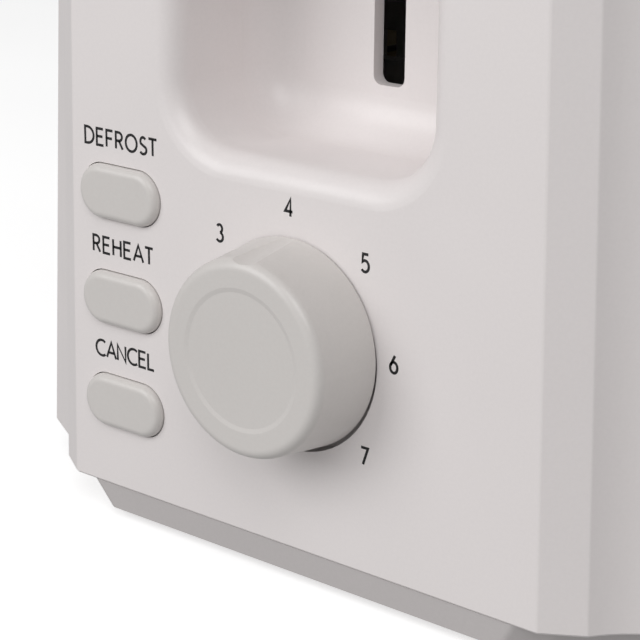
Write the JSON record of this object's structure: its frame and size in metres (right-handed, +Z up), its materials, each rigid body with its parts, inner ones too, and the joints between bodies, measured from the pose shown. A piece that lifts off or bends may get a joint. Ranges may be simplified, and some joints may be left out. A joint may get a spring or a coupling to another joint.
{
  "type": "pop up toaster",
  "caption": "Pop up toaster with side by side bread slots, a lever in a deep end recess, a browning knob, push buttons and a pull-out crumb tray.",
  "frame": {"origin": "on the ground, under the middle of the whole object", "axes": "+X across the width, to the right seen from the control end; +Y away from the control end, along the bread slots; +Z up"},
  "size_m": [0.175, 0.276, 0.19],
  "materials": {
    "housing_plastic": "satin moulded",
    "control_plastic": "fine satin moulded",
    "base_plastic": "satin moulded",
    "dark_plastic": "moulded",
    "sheet_steel": "rolled, zinc plated",
    "bright_wire": "drawn wire, plated",
    "rubber": "matt",
    "mica": "pressed mica",
    "heating_wire": "oxidised ribbon",
    "board": "resin bonded paper",
    "copper_winding": "enamelled wire"
  },
  "bodies": {
    "housing": {"control_end_cap": "housing_plastic", "rear_end_cap": "housing_plastic", "left_side_shell": "housing_plastic", "right_side_shell": "housing_plastic", "top_bezel": "housing_plastic", "base_tray": "base_plastic", "feet": "rubber", "base_screws": "sheet_steel", "chassis_screws": "sheet_steel", "cord_bush": "dark_plastic", "front_end_plate": "sheet_steel", "rear_end_plate": "sheet_steel", "left_heat_shield": "sheet_steel", "right_heat_shield": "sheet_steel", "left_mica_card": "mica", "centre_mica_card": "mica", "right_mica_card": "mica", "left_element_ribbon": "heating_wire", "centre_element_ribbon": "heating_wire", "right_element_ribbon": "heating_wire", "left_inner_guard": "bright_wire", "left_outer_guard": "bright_wire", "right_inner_guard": "bright_wire", "right_outer_guard": "bright_wire", "carriage_rod": "bright_wire", "carriage_buffer": "rubber", "magnet_bracket": "sheet_steel", "magnet_core": "sheet_steel", "magnet_coil": "copper_winding", "circuit_board": "board", "potentiometer": "dark_plastic", "tact_switches": "dark_plastic", "mains_contacts": "dark_plastic"},
    "carriage": {"carriage": "sheet_steel", "armature_plate": "sheet_steel", "carriage_spring": "bright_wire", "lever_arm": "sheet_steel", "lever_knob": "control_plastic", "left_bread_lifter": "sheet_steel", "right_bread_lifter": "sheet_steel"},
    "browning_control": {"browning_knob": "control_plastic", "browning_shaft": "sheet_steel"},
    "defrost": {"defrost_button": "control_plastic"},
    "reheat": {"reheat_button": "control_plastic"},
    "cancel": {"cancel_button": "control_plastic"},
    "crumb_drawer": {"crumb_tray": "sheet_steel", "crumb_tray_handle": "base_plastic"}
  },
  "joints": [
    {"name": "carriage_slide", "type": "slide", "parent": "housing", "child": "carriage", "axis": [0, 0, -1], "range_m": [0, 0.058], "stiffness_N_per_m": 120, "springref_m": -0.035, "deforming": ["carriage_spring"]},
    {"name": "browning_turn", "type": "hinge", "parent": "housing", "child": "browning_control", "pos_m": [0.0013, -0.1232, 0.0511], "axis": [0, 1, 0], "range_deg": [-135, 135]},
    {"name": "defrost_press", "type": "slide", "parent": "housing", "child": "defrost", "axis": [0, 1, 0], "range_m": [0, 0.002], "stiffness_N_per_m": 800, "springref_m": -0.0015},
    {"name": "reheat_press", "type": "slide", "parent": "housing", "child": "reheat", "axis": [0, 1, 0], "range_m": [0, 0.002], "stiffness_N_per_m": 800, "springref_m": -0.0015},
    {"name": "cancel_press", "type": "slide", "parent": "housing", "child": "cancel", "axis": [0, 1, 0], "range_m": [0, 0.002], "stiffness_N_per_m": 800, "springref_m": -0.0015},
    {"name": "crumb_tray_pull", "type": "slide", "parent": "housing", "child": "crumb_drawer", "axis": [0, 1, 0], "range_m": [0, 0.2]}
  ]
}
